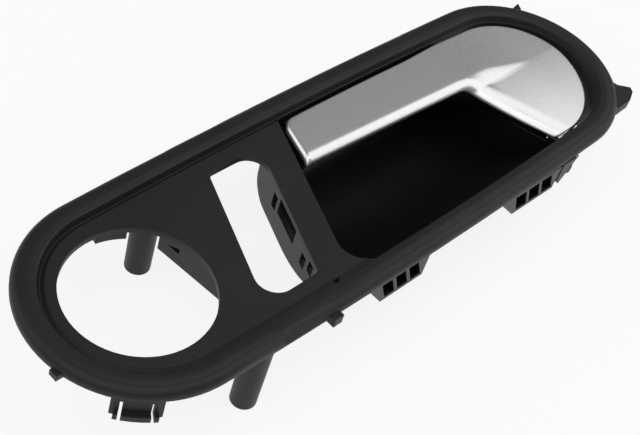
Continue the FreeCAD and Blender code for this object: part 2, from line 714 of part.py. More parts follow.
def open_arm_tip():
    """X and Z of the cable arm's tip when the lever is fully open."""
    turn = math.radians(OPEN_ANGLE)
    return (PIVOT_X + ARM_REACH * math.cos(turn) - ARM_DROP * math.sin(turn),
            PIVOT_Z - ARM_REACH * math.sin(turn) - ARM_DROP * math.cos(turn))


def stop_face_x():
    return open_arm_tip()[0] - ARM_END_RADIUS - STOP_GAP


def open_stop_pad():
    """Rubber block on the right wall that the cable arm meets when the lever is fully open."""
    middle = arm_centre_y()
    top = open_arm_tip()[1] + PAD_SIZE / 2
    half = PAD_SIZE / 2
    pad = box(CUP_RIGHT, stop_face_x(), middle - half, middle + half, -BACK_DEPTH + SEAT_FLOOR, top)
    edges = [e for e in pad.Edges if e.CenterOfMass.x > stop_face_x() - 0.01]
    return pad.makeChamfer(PAD_ROUND, edges)


def finger_cup():
    outer = opening_prism(CUP_WALL, -BACK_DEPTH, 0).common(bowl_section(0, -HALF_LENGTH, HALF_LENGTH))
    outer = outer.common(inside_right_wall(0))
    hollow = opening_prism(0, -BACK_DEPTH, 1).common(bowl_section(CUP_WALL, -HALF_LENGTH, HALF_LENGTH))
    hollow = hollow.common(inside_right_wall(CUP_WALL))
    mouth = opening_prism(0, -1, 1).common(inside_right_wall(CUP_WALL))
    bowl = outer.cut(hollow).cut(mouth).cut(wall_relief())
    extras = [clip_tower(*places) for places in CLIP_TOWERS] + [clip_guide()]
    extras += [cup_ear_tab(x, y) for x, y in cup_screw_places()]
    extras += [ear(NEAR_EAR_Y - EAR_WALL), ear(FAR_EAR_Y), cable_seat()]
    extras += [spring_anchor()]
    body = fuse([bowl] + extras).cut(hollow)
    body = fuse([body] + [pad_shelf(x) for x in PAD_X])
    for space in left_wall_windows() + [pad_seat(x) for x in PAD_X]:
        body = body.cut(space)
    for x, y in cup_screw_places():
        low = -BOSS_DEPTH - CUP_EAR_THICKNESS
        body = body.cut(rod(SCREW_RADIUS + BOSS_GAP, (x, y, low - 1), (x, y, 0)))
        body = body.cut(rod(BOSS_RADIUS + BOSS_GAP, (x, y, -BOSS_DEPTH), (x, y, 0)))
    bore = rod(PIN_RADIUS + BUSH_WALL, (PIVOT_X, -TALL, PIVOT_Z), (PIVOT_X, TALL, PIVOT_Z))
    return body.cut(bore)


def spring_anchor():
    """Rib on the right wall that the spring's lower leg bears on."""
    y = spring_start_y()
    x = PIVOT_X - SPRING_RADIUS - SPRING_WIRE - JOINT_GAP
    return box(CUP_RIGHT - CUP_WALL, x, y - 1.2, y + 1.2, PIVOT_Z - SPRING_LEG - 1, PIVOT_Z - SPRING_LEG + 4)


def lever_sections():
    """Stations along the lever: X, roll start Y and Z, roll foot Y and Z, middle Z and near Z."""
    foot_z = LEVER_TOP - LEVER_ROLL_FALL
    stations = []
    for step in range(LEVER_STATIONS):
        x = LEVER_START_X + step * LEVER_STATION
        run = min(1.0, max(0.0, (x - LEVER_CORNER_X) / (CREASE_END_X - LEVER_CORNER_X)))
        ease = run * run * (3 - 2 * run)
        fall = 1 - (1 - run) ** CREASE_BEND
        bar_near = LEVER_BAR_NEAR + LEVER_BAR_TAPER * max(0.0, LEVER_CORNER_X - x)
        upper_y = bar_near + LEVER_ROLL + run * (CREASE_END_Y - LEVER_BAR_NEAR - LEVER_ROLL)
        lower_y = bar_near + fall * (CREASE_FOOT_Y - LEVER_BAR_NEAR)
        upper_z = LEVER_TOP + ease * (PLATE_RIDGE_Z - LEVER_TOP)
        lower_z = foot_z + ease * (PLATE_RIDGE_Z - RIDGE_STEP - foot_z)
        middle_z = PLATE_MIDDLE_Z[0] + ease * (PLATE_MIDDLE_Z[1] - PLATE_MIDDLE_Z[0])
        near_z = PLATE_NEAR_Z[0] + ease * (PLATE_NEAR_Z[1] - PLATE_NEAR_Z[0])
        stations.append((x, upper_y, upper_z, lower_y, lower_z, middle_z, near_z))
    return stations


def lever_section_wire(station):
    """Closed section across the lever at one station."""
    x, upper_y, upper_z, lower_y, lower_z, middle_z, near_z = station
    side = HALF_WIDTH
    near_y = -HALF_WIDTH + PLATE_NEAR_SET
    bend_y = upper_y - ROLL_FULLNESS * (upper_y - lower_y)
    middle_y = (lower_y + near_y) / 2 - PLATE_MIDDLE_SET
    far = Vec(x, side, PLATE_FAR_Z)
    upper = Vec(x, upper_y, upper_z)
    lower = Vec(x, lower_y, lower_z)
    near = Vec(x, near_y, near_z)
    near_foot = Vec(x, near_y, lever_foot_z(near_y))
    far_foot = Vec(x, side, lever_foot_z(side))
    roll = Part.BezierCurve()
    roll.setPoles([upper, Vec(x, bend_y, upper_z), lower])
    plate = Part.BezierCurve()
    plate.setPoles([lower, Vec(x, middle_y, middle_z), near])
    corners = [near, near_foot, far_foot, far, upper]
    sides = [Part.LineSegment(p, q).toShape() for p, q in zip(corners, corners[1:])]
    return Part.Wire([sides[-1], roll.toShape(), plate.toShape()] + sides[:-1])


def lever_outline(inset, z0, z1):
    """Plan of the lever: bar and half-round plate with the finger notch taken out."""
    side_inset = OPENING_SIDE_INSET + LEVER_GAP + inset
    end_inset = OPENING_END_INSET + LEVER_PLATE_GAP + inset
    _, _, radius, _, centre_x = oval_numbers(side_inset, end_inset)
    far_half = oval_prism(side_inset, end_inset, z0, z1).common(box(-LENGTH, LENGTH, 0, TALL, z0, z1))
    oval = fuse([far_half, rod(radius, (centre_x, 0, z0), (centre_x, 0, z1))])
    left = OPENING_LEFT + LEVER_END_GAP + inset
    keep = prism([(slanted_line(left, -TALL), -TALL), (2 * HALF_LENGTH, -TALL),
                  (2 * HALF_LENGTH, TALL), (slanted_line(left, TALL), TALL)], z0, z1)
    bar_left_y = LEVER_BAR_NEAR + LEVER_BAR_TAPER * (LEVER_NOTCH_X + TALL) + inset
    corner = (LEVER_NOTCH_X + inset, LEVER_BAR_NEAR + inset)
    lean = (LEVER_TIP_X - LEVER_NOTCH_X) / (LEVER_TIP_Y - LEVER_BAR_NEAR)
    low_x = LEVER_TIP_X + inset + lean * (-TALL - LEVER_TIP_Y)
    notch = rounded_prism([(-TALL, bar_left_y), corner, (low_x, -TALL), (-TALL, -TALL)],
                          [0, LEVER_NOTCH_RADIUS, 0, 0], z0, z1)
    return oval.common(keep).cut(notch)


def notch_edge(body):
    """Top edge of the plate along the straight run of the finger notch."""
    edges = [e for e in body.Edges if abs(e.tangentAt(e.FirstParameter).z) < UPRIGHT]
    middle_x = (LEVER_NOTCH_X + LEVER_TIP_X) / 2 + NOTCH_EDGE_SHIFT[0]
    middle_y = (LEVER_BAR_NEAR + LEVER_TIP_Y) / 2 + NOTCH_EDGE_SHIFT[1]
    top = [e for e in edges if e.CenterOfMass.z > lever_foot_z(e.CenterOfMass.y) + EDGE_ABOVE_FOOT]
    return min(top, key=lambda e: math.hypot(e.CenterOfMass.x - middle_x, e.CenterOfMass.y - middle_y))


def lever_body():
    """Full solid of the lever's silver shell before it is hollowed."""
    wires = [lever_section_wire(station) for station in lever_sections()]
    slab = Part.makeLoft(wires, True, False)
    body = slab.common(lever_outline(0, -TALL, TALL))
    return body.makeFillet(*LEVER_EDGE_ROLL, [notch_edge(body)])


def moved(shape, x, y, z):
    copy = shape.copy()
    copy.translate(Vec(x, y, z))
    return copy


def lever_shell(body):
    """Silver skin: the body less itself moved down and in, with two screw bosses."""
    shell = body.cut(moved(body, LEVER_SKIN, SIDE_SKIN * LEVER_SKIN, -LEVER_SKIN))
    boss_foot = lever_screw_seat() + LEVER_SCREW_WEB
    y = LEVER_SCREW_Y
    boss_top = LEVER_TOP - LEVER_BOSS_TOP
    bosses = [rod(LEVER_BOSS_RADIUS, (x, y, boss_foot), (x, y, boss_top)) for x in LEVER_SCREW_X]
    shell = fuse([shell] + bosses)
    for x in LEVER_SCREW_X:
        shell = shell.cut(rod(LEVER_SCREW_RADIUS, (x, y, boss_foot - 1), (x, y, LEVER_TOP - LEVER_PILOT_TOP)))
    return shell


def bay_top():
    return PIVOT_Z + EAR_RADIUS + 0.35


def carrier_knuckles():
    near, far = knuckle_spans()
    parts = []
    for y0, y1 in (near, far):
        parts.append(rod(KNUCKLE_RADIUS, (PIVOT_X, y0, PIVOT_Z), (PIVOT_X, y1, PIVOT_Z)))
        parts.append(box(PIVOT_X - 2, PIVOT_X + 2.6, y0, y1, PIVOT_Z, bay_top() + 0.4))
    return parts


def cable_arm():
    """Arm that runs down from the far knuckle to the cable eye."""
    y0, y1 = knuckle_spans()[1]
    tip = Vec(PIVOT_X + ARM_REACH, y0, PIVOT_Z - ARM_DROP)
    run = tip - Vec(PIVOT_X, y0, PIVOT_Z)
    side = Vec(-run.z, 0, run.x).normalize()
    root = Vec(PIVOT_X, y0, PIVOT_Z)
    corners = [root + side * KNUCKLE_RADIUS, root - side * KNUCKLE_RADIUS,
               tip - side * ARM_END_RADIUS, tip + side * ARM_END_RADIUS]
    arm = Part.Face(Part.makePolygon(corners + corners[:1])).extrude(Vec(0, y1 - y0, 0))
    end = rod(ARM_END_RADIUS, (tip.x, y0, tip.z), (tip.x, y1, tip.z))
    return arm.fuse(end)


def cable_eye():
    """Cross bore and entry slot for the ball end of a cable."""
    y0, y1 = knuckle_spans()[1]
    x = PIVOT_X + ARM_REACH
    z = PIVOT_Z - ARM_DROP
    ball = rod(CABLE_EYE_RADIUS, (x, y0 + 1, z), (x, y1 + 1, z))
    slot = box(x, x + 2 * ARM_END_RADIUS, y0 + 1.9, y1 - 1.6, z - 0.6, z + 0.6)
    return ball.fuse(slot)


def hinge_bay():
    """Room in the carrier for the ears, bushes and spring, with a channel over the spring's leg."""
    y0 = NEAR_EAR_Y - EAR_WALL - 2.0
    y1 = FAR_EAR_Y + EAR_WALL + 3.0
    bay = box(PIVOT_X - EAR_RADIUS - 1.2, PIVOT_X + EAR_RADIUS + 0.9, y0, y1, -TALL, bay_top())
    y = spring_end_y()
    channel_top = PIVOT_Z + SPRING_RADIUS + SPRING_WIRE + JOINT_GAP
    channel = box(PIVOT_X, PIVOT_X + SPRING_LEG + 1.5, y - 1.4, y + 1.4, -TALL, channel_top)
    return bay.fuse(channel)


def under_pockets():
    """Lightening pockets under the plate, between ribs."""
    return [box(*span, y0, y1, -TALL, carrier_foot_z(y0) + POCKET_WALL)
            for span in POCKET_X for y0, y1 in POCKET_Y]


def carrier_back():
    """Flat back of the carrier, under the shell's foot."""
    side = HALF_WIDTH
    corners = [(side, lever_foot_z(side) - JOINT_GAP), (-side, lever_foot_z(-side) - JOINT_GAP),
               (-side, carrier_foot_z(-side)), (side, carrier_foot_z(side))]
    loop = [Vec(-HALF_LENGTH, y, z) for y, z in corners]
    slab = Part.Face(Part.makePolygon(loop + loop[:1])).extrude(Vec(LENGTH, 0, 0))
    _, _, radius, _, centre_x = oval_numbers(OPENING_SIDE_INSET + LEVER_GAP + CARRIER_RIM,
                                             OPENING_END_INSET + LEVER_PLATE_GAP + CARRIER_RIM)
    far_half = box(-LENGTH, LENGTH, 0, TALL, -TALL, TALL)
    keep = far_half.fuse(rod(radius, (centre_x, 0, -TALL), (centre_x, 0, TALL)))
    return slab.common(lever_outline(CARRIER_INSET, -TALL, TALL)).common(keep)


def lever_carrier(body):
    """Black inner body of the lever: fills the shell, closes its back and carries the hinge."""
    gap = JOINT_GAP
    core = moved(body, LEVER_SKIN + gap, SIDE_SKIN * LEVER_SKIN + gap, -LEVER_SKIN - gap)
    solid = fuse([core.common(lever_outline(CARRIER_INSET, -TALL, TALL)), carrier_back()])
    for pocket in [hinge_bay()] + under_pockets():
        solid = solid.cut(pocket)
    feet = [lever_foot(x) for x in PAD_X]
    solid = fuse([solid] + carrier_knuckles() + feet + [cable_arm()])
    solid = solid.cut(cable_eye())
    seat = lever_screw_seat()
    y = LEVER_SCREW_Y
    for x in LEVER_SCREW_X:
        boss_room = rod(LEVER_BOSS_RADIUS + gap, (x, y, seat + LEVER_SCREW_WEB - gap), (x, y, TALL))
        shank_room = rod(LEVER_SCREW_RADIUS + gap, (x, y, -TALL), (x, y, TALL))
        head_room = rod(SCREW_HEAD_RATIO * LEVER_SCREW_RADIUS + 2 * gap, (x, y, -TALL), (x, y, seat))
        solid = solid.cut(fuse([boss_room, shank_room, head_room]))
    near, far = knuckle_spans()
    bore = rod(PIN_RADIUS + PIN_CLEARANCE, (PIVOT_X, near[0] - 1, PIVOT_Z), (PIVOT_X, far[1] + 1, PIVOT_Z))
    return solid.cut(bore)


def lever_foot(x):
    """Flat foot under the carrier that comes down on a rest pad."""
    return pad_base(x, -PAD_FOOT_INSET, PAD_TOP + PAD_GAP, carrier_foot_z(PAD_Y) + PAD_RIM)


def spring_end_y():
    return spring_start_y() + (SPRING_TURNS + 0.25) * SPRING_PITCH


def spring_start_y():
    near, far = knuckle_spans()
    return (near[1] + far[0] - SPRING_TURNS * SPRING_PITCH) / 2


def return_spring():
    """Torsion spring round the pin, with one leg down beside the cup and one under the carrier."""
    turns = SPRING_TURNS + 0.25
    coil = Part.makeHelix(SPRING_PITCH, turns * SPRING_PITCH, SPRING_RADIUS)
    section = Part.Wire(Part.Circle(Vec(SPRING_RADIUS, 0, 0), Y_AXIS, SPRING_WIRE).toShape())
    wire = Part.Wire(coil).makePipeShell([section], True, True)
    wire.rotate(Vec(), Z_AXIS, 180)
    lower_leg = Part.makeCylinder(SPRING_WIRE, SPRING_LEG, Vec(-SPRING_RADIUS, 0, 0), Y_AXIS)
    coil_end = Vec(0, -SPRING_RADIUS, turns * SPRING_PITCH)
    upper_leg = Part.makeCylinder(SPRING_WIRE, SPRING_LEG, coil_end, X_AXIS)
    spring = fuse([wire, lower_leg, upper_leg])
    spring.rotate(Vec(), X_AXIS, -90)
    spring.translate(Vec(PIVOT_X, spring_start_y(), PIVOT_Z))
    return spring


def bush(flange_y, inward):
    """Flanged sleeve pressed into one ear, with its flange towards the knuckle."""
    outer = PIN_RADIUS + BUSH_WALL
    sleeve = rod(outer, (PIVOT_X, flange_y, PIVOT_Z), (PIVOT_X, flange_y - inward * EAR_WALL, PIVOT_Z))
    flange_end = flange_y + inward * BUSH_FLANGE
    flange = rod(outer + BUSH_FLANGE_RIM, (PIVOT_X, flange_y, PIVOT_Z), (PIVOT_X, flange_end, PIVOT_Z))
    body = sleeve.fuse(flange).removeSplitter()
    bore = rod(PIN_RADIUS + PIN_CLEARANCE, (PIVOT_X, -TALL, PIVOT_Z), (PIVOT_X, TALL, PIVOT_Z))
    return body.cut(bore)


def pin_ends():
    """Y of the pin's head face and of its far tip."""
    return NEAR_EAR_Y - EAR_WALL - PIN_HEAD_GAP, FAR_EAR_Y + EAR_WALL + PIN_TIP


def pivot_pin():
    start, end = pin_ends()
    shaft = rod(PIN_RADIUS, (PIVOT_X, start, PIVOT_Z), (PIVOT_X, end, PIVOT_Z))
    rim, depth = PIN_HEAD
    head = rod(PIN_RADIUS + rim, (PIVOT_X, start - depth, PIVOT_Z), (PIVOT_X, start, PIVOT_Z))
    return shaft.fuse(head).removeSplitter()


def pin_clip():
    """Push-on ring that holds the pin at the far ear."""
    start = FAR_EAR_Y + EAR_WALL + PIN_CLIP_GAP
    end = start + PIN_CLIP_THICKNESS
    ring = rod(PIN_RADIUS + PIN_CLIP_RIM, (PIVOT_X, start, PIVOT_Z), (PIVOT_X, end, PIVOT_Z))
    ring = ring.cut(rod(PIN_RADIUS, (PIVOT_X, start - 1, PIVOT_Z), (PIVOT_X, start + 1, PIVOT_Z)))
    mouth = box(PIVOT_X - PIN_CLIP_MOUTH, PIVOT_X + PIN_CLIP_MOUTH, start - 1, start + 1,
                PIVOT_Z - 2 * PIN_RADIUS - 1, PIVOT_Z - PIN_CLIP_THROAT)
    return ring.cut(mouth)


def screw(x, y, seat_z, length, radius):
    """Pan-head screw driven upwards, with its head under the seat and a cross recess."""
    head_radius = SCREW_HEAD_RATIO * radius
    head_height = SCREW_HEAD_DEPTH * radius
    shank = rod(radius, (x, y, seat_z), (x, y, seat_z + length))
    head = rod(head_radius, (x, y, seat_z - head_height), (x, y, seat_z))
    rim = [e for e in head.Edges if e.CenterOfMass.z < seat_z - head_height + 0.01]
    head = head.makeFillet(SCREW_HEAD_ROUND * head_height, rim[:1])
    body = shank.fuse(head).removeSplitter()
    low = seat_z - head_height - 1
    top = seat_z - SCREW_HEAD_ROUND * head_height
    arm = RECESS_REACH * head_radius
    blade = RECESS_BLADE * arm
    for half_x, half_y in ((arm, blade), (blade, arm)):
        body = body.cut(box(x - half_x, x + half_x, y - half_y, y + half_y, low, top))
    return body


def cup_screws():
    seat = -BOSS_DEPTH - CUP_EAR_THICKNESS
    return [screw(x, y, seat, SCREW_LENGTH, SCREW_RADIUS) for x, y in cup_screw_places()]


def lever_screw_seat():
    return carrier_foot_z(LEVER_SCREW_Y) + SCREW_HEAD_DEPTH * LEVER_SCREW_RADIUS + LEVER_HEAD_RECESS


def lever_screws():
    seat = lever_screw_seat()
    length = LEVER_TOP - LEVER_SCREW_TOP - seat
    return [screw(x, LEVER_SCREW_Y, seat, length, LEVER_SCREW_RADIUS) for x in LEVER_SCREW_X]


def build():
    body = lever_body()
    nodes = {
        "bezel": bezel(),
        "finger_cup": finger_cup(),
        "lever_shell": lever_shell(body),
        "lever_carrier": lever_carrier(body),
        "pivot_pin": pivot_pin(),
        "pin_clip": pin_clip(),
        "near_bush": bush(NEAR_EAR_Y, 1),
        "far_bush": bush(FAR_EAR_Y, -1),
        "return_spring": return_spring(),
        "near_rest_pad": rest_pad(PAD_X[0]),
        "far_rest_pad": rest_pad(PAD_X[1]),
        "open_stop_pad": open_stop_pad(),
    }
    for index, solid in enumerate(cup_screws(), 1):
        nodes["cup_screw_%d" % index] = solid
    for index, solid in enumerate(lever_screws(), 1):
        nodes["lever_screw_%d" % index] = solid
    return nodes


os.makedirs("parts", exist_ok=True)
for name, shape in build().items():
    shape.exportStep("parts/%s.step" % name)
    print(name, shape.isValid(), len(shape.Solids), round(shape.Volume, 1))
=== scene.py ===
import math

import bpy
from mathutils import Matrix, Vector


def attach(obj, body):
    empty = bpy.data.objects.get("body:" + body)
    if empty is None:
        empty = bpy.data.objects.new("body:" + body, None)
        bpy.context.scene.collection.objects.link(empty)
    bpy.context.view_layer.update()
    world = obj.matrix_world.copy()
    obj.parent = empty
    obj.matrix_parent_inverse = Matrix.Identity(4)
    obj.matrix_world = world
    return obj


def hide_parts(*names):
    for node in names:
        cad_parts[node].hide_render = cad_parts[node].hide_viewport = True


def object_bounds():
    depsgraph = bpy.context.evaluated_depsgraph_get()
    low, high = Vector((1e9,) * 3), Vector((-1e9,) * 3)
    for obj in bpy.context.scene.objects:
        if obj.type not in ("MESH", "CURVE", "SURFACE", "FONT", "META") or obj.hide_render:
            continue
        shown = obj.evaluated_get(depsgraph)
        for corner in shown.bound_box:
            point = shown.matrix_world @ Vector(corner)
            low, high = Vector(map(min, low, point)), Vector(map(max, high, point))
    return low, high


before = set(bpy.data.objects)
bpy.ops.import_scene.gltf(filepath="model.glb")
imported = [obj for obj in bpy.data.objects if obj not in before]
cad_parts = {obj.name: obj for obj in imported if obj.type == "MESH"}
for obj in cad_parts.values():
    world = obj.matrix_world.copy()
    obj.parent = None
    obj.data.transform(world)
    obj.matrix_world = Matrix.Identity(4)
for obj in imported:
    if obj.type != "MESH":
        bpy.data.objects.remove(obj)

# Looks for an interior door pull: matt black bezel, satin silver lever, finger cup in a darker black that
# also holds painted shade.
# Metres, in the frame of the CAD part, where nothing else is said.
# X runs along the oval and +Z points out of its face.

CAD_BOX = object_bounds()
MM = 0.001

# Camera that matches the photograph
CAMERA_PLACE = (-0.2635, -0.1571, 0.2968)
CAMERA_RIGHT = (0.6931, -0.6827, 0.2314)
CAMERA_UP = (0.4120, 0.6386, 0.6500)
CAMERA_BACK = (-0.5915, -0.3551, 0.7239)
CAMERA_LENS = 75.2
CAMERA_SENSOR = 36.0
CAMERA_SHIFT = (-0.0187, 0.0075)

# Studio: world level, then each soft box as direction, distance, width, height and radiance
WHITE = (1, 1, 1, 1)
WORLD_LEVEL = 0.235
SOFT_BOXES = {
    "left_box": ((-0.50, -0.18, 0.85), 1.2, 1.3, 1.3, 1.25),
    "near_box": ((0.62, -0.34, 0.71), 1.2, 1.42, 1.9, 1.12),
    "far_box": ((-0.57, 0.67, 0.48), 1.2, 0.8, 0.7, 1.3),
}

# Floor just under the part, and the share of it that glows by itself where it is seen
FLOOR_Z = CAD_BOX[0][2]
FLOOR_GAP = 0.0001
FLOOR_RADIUS = 6.0
FLOOR_SIDES = 96
FLOOR_COLOUR = (0.9, 0.9, 0.9, 1)
FLOOR_ROUGHNESS = 0.9
FLOOR_GLOW = 0.85

# Materials: a noise has its scale per metre, and a bump or a soft edge its depth or radius in metres
NOISE_MIDDLE = (0.3, 0.7)
EDGE_SAMPLES = 6

# Moulded plastic: slow drift of the colour, then gloss and ripple as shares of the fine grain
PLASTIC_IOR = 1.47
DRIFT_SCALE = 38.0
DRIFT_STOPS = (0.35, 0.65)
GLOSS_GRAIN = 0.7
GLOSS_SPREAD = (-0.05, 0.06)
RIPPLE_GRAIN = 0.16
RIPPLE_DEPTH = 2.5
RIPPLE_STRENGTH = 0.25
GRAIN_STRENGTH = 0.55

# Silver paint
SILVER_COLOURS = ((0.68, 0.684, 0.69), (0.74, 0.742, 0.745))
SILVER_STOPS = (0.32, 0.68)
SILVER_ROUGHNESS = (0.27, 0.32)
SILVER_GLOSS_SCALE = 900.0
SILVER_METALLIC = 0.92
FLAKE_SCALE = 5200.0
FLAKE_DEPTH = 0.000004
PEEL_SCALE = 420.0
PEEL_DEPTH = 0.00002
PAINT_STRENGTH = 0.2
COAT_WEIGHT = 0.12
COAT_ROUGHNESS = 0.18

# Drawn steel
STEEL_COLOURS = ((0.42, 0.425, 0.43), (0.60, 0.605, 0.61))
STEEL_ROUGHNESS = (0.24, 0.38)
STEEL_STRETCH = (1.0, 0.12, 1.0)
STEEL_LINE_SCALE = 2400.0
STEEL_GLOSS_SHARE = 0.3
STEEL_LINE_DEPTH = 0.00001
STEEL_EDGE = 0.0002

# Rubber of the pads
RUBBER_GREYS = (0.018, 0.032)
RUBBER_ROUGHNESS = (0.62, 0.78)
RUBBER_EDGE = 0.0003

# Nylon of the bushes
NYLON_COLOURS = ((0.66, 0.63, 0.56), (0.76, 0.73, 0.66))
NYLON_ROUGHNESS = (0.38, 0.5)
NYLON_EDGE = 0.0002
NYLON_GLOW = 0.1
NYLON_GLOW_RADIUS = (0.002, 0.002, 0.0015)

# Lengths from here down are in millimetres, in the part's own frame.
# Lever skin, far side: a shallow arc, set in on the left, with a set that fades out between two X
SKIN_FAR_Y = 28.65
SKIN_FAR_RADIUS = 2065.5
SKIN_FAR_SET = 0.85
SKIN_FAR_SET_X = (50.0, 72.0)

# Half-round end: its radius shrinks a little over a short run on the near side
DISC_X = 85.65
DISC_RADIUS = 26.85
DISC_NEAR_SET = 0.3
DISC_NEAR_RUN = 10.0

# Left end and the bar's near edge, each with its slope
SKIN_LEFT_X = -14.2
SKIN_LEFT_SLANT = 0.29
SKIN_NEAR_Y = 9.6
SKIN_NEAR_TAPER = 0.048

# Finger notch, then the radii of the outline's corners
NOTCH_X = 67.8
NOTCH_LEAN = 0.462
NOTCH_CORNER = 3.0
FAR_LEFT_CORNER = 4.0
SMALL_CORNER = 1.2

# Heights of the face: flat bar, crease that dissolves into a ridge, plate that falls away
TOP_Z = 2.3
FAR_Z = 2.1
FAR_SPAN_Y = 38.0
CREASE_START_X = 61.0
CREASE_FULL_X = 76.0
CREASE_TURN_X = 77.0
CREASE_END_X = 99.0
CREASE_FOOT_Y = 3.7
CREASE_TOP_Y = 9.4
CREASE_CURVE = 1.5
RIDGE_Z = 0.8
PLATE_TOP_Z = 0.0
PLATE_SLOPE = 0.072
PLATE_CURVE = 0.0008

# Rolled edges: width, depth, and how far round the edge turns, where 1 is all the way down
FAR_ROLL = (0.8, 0.6, 0.95)
LEFT_ROLL = (2.3, 1.9, 0.95)
BAR_ROLL = (3.2, 2.25, 0.95)
NOTCH_ROLL = (6.2, 3.6, 0.995)
TIP_ROLL = (6.0, 2.3, 0.98)
TIP_Y = -24.0

# Foot of the skin under its outline, and its thickness
SKIN_FOOT_Z = -2.5
SKIN_FOOT_SLOPE = 0.055
SKIN_TUCK = 1.1
SKIN_THICKNESS = 1.0

# Grid of the skin: distances of the closest columns and rows from each edge of the outline
LEFT_STEPS = (0.001, 0.03, 0.1, 0.2, 0.35, 0.55, 0.8, 1.1, 1.45, 1.85, 2.3, 2.9, 3.6, 4.4, 5.6)
TIP_STEPS = (2.6, 1.9, 1.4, 1.0, 0.7, 0.45, 0.25, 0.12, 0.04, 0.001)
NEAR_STEPS = (0.0, 0.02, 0.08, 0.18, 0.32, 0.5, 0.72, 1.0, 1.3, 1.65, 2.05, 2.5, 3.0, 3.6, 4.4, 5.4, 6.6)
FAR_STEPS = (1.6, 1.2, 0.85, 0.6, 0.4, 0.22, 0.1, 0.03, 0.0)

# Columns: usual gap, smaller gap round the crease and its margins before and past it, least gap to
# the tip's own columns, and the run over which the columns' lean fades out
COLUMN_GAP = 1.2
CREASE_COLUMN_GAP = 0.4
CREASE_MARGINS = (2.0, 7.0)
LAST_COLUMN_GAP = 1.0
SLANT_RUN = 30.0

# Rows: counts under, on and over the crease, and the least gaps at its foot and top.
# A column shorter than the full span has its rows drawn closer together.
ROW_COUNTS = (12, 10, 12)
FOOT_GAPS = (0.5, 3.0)
TOP_GAPS = (1.5, 1.0)
FULL_SPAN = 30.0

# Search for the outline: a Y inside the bar, a Y outside the lever, and the number of halvings
BAR_MIDDLE_Y = 18.0
OUTSIDE_Y = 40.0
HALVINGS = 36

# Half width over which the outline's slope is measured, and the least values to divide by
PROBE = 0.05
LEAST_SPAN = 0.001
LEAST_SLOPE = 0.0001

# Far part of the bezel's inner skirt: it hides the gap past the lever's plate
SKIRT_X = 85.95
SKIRT_RADIUS = (28.6, 29.9)
SKIRT_LEFT_X = 69.5
SKIRT_RISE = 0.0002
SKIRT_DEG = (4, 90)
SKIRT_STEP_DEG = 2
SKIRT_SIDE_STEPS = 5
SKIRT_Z = (-6.0, 0.6)
SKIRT_CORNERS = 4

# Edges of the skin and the skirt that turn by more than this, in radians, stay sharp
SHARP_ANGLE = 0.7


def add_camera():
    data = bpy.data.cameras.new("photo_camera")
    data.sensor_width = CAMERA_SENSOR
    data.lens = CAMERA_LENS
    data.shift_x, data.shift_y = CAMERA_SHIFT
    camera = bpy.data.objects.new("photo_camera", data)
    turn = Matrix((CAMERA_RIGHT, CAMERA_UP, CAMERA_BACK)).transposed()
    camera.matrix_world = Matrix.Translation(CAMERA_PLACE) @ turn.to_4x4()
    bpy.context.collection.objects.link(camera)
    bpy.context.scene.camera = camera


def add_soft_box(name, direction, distance, width, height, radiance):
    """Rectangular lamp that faces the object; its power follows from the wanted radiance."""
    data = bpy.data.lights.new(name, "AREA")
    data.shape = "RECTANGLE"
    data.size = width
    data.size_y = height
    data.energy = radiance * math.pi * width * height
    lamp = bpy.data.objects.new(name, data)
    place = Vector(direction).normalized() * distance
    lamp.location = place
    lamp.rotation_euler = place.to_track_quat("Z", "Y").to_euler()
    bpy.context.collection.objects.link(lamp)


def add_world():
    world = bpy.data.worlds.new("studio")
    world.use_nodes = True
    bpy.context.scene.world = world
    background = world.node_tree.nodes["Background"]
    background.inputs["Color"].default_value = WHITE
    background.inputs["Strength"].default_value = WORLD_LEVEL


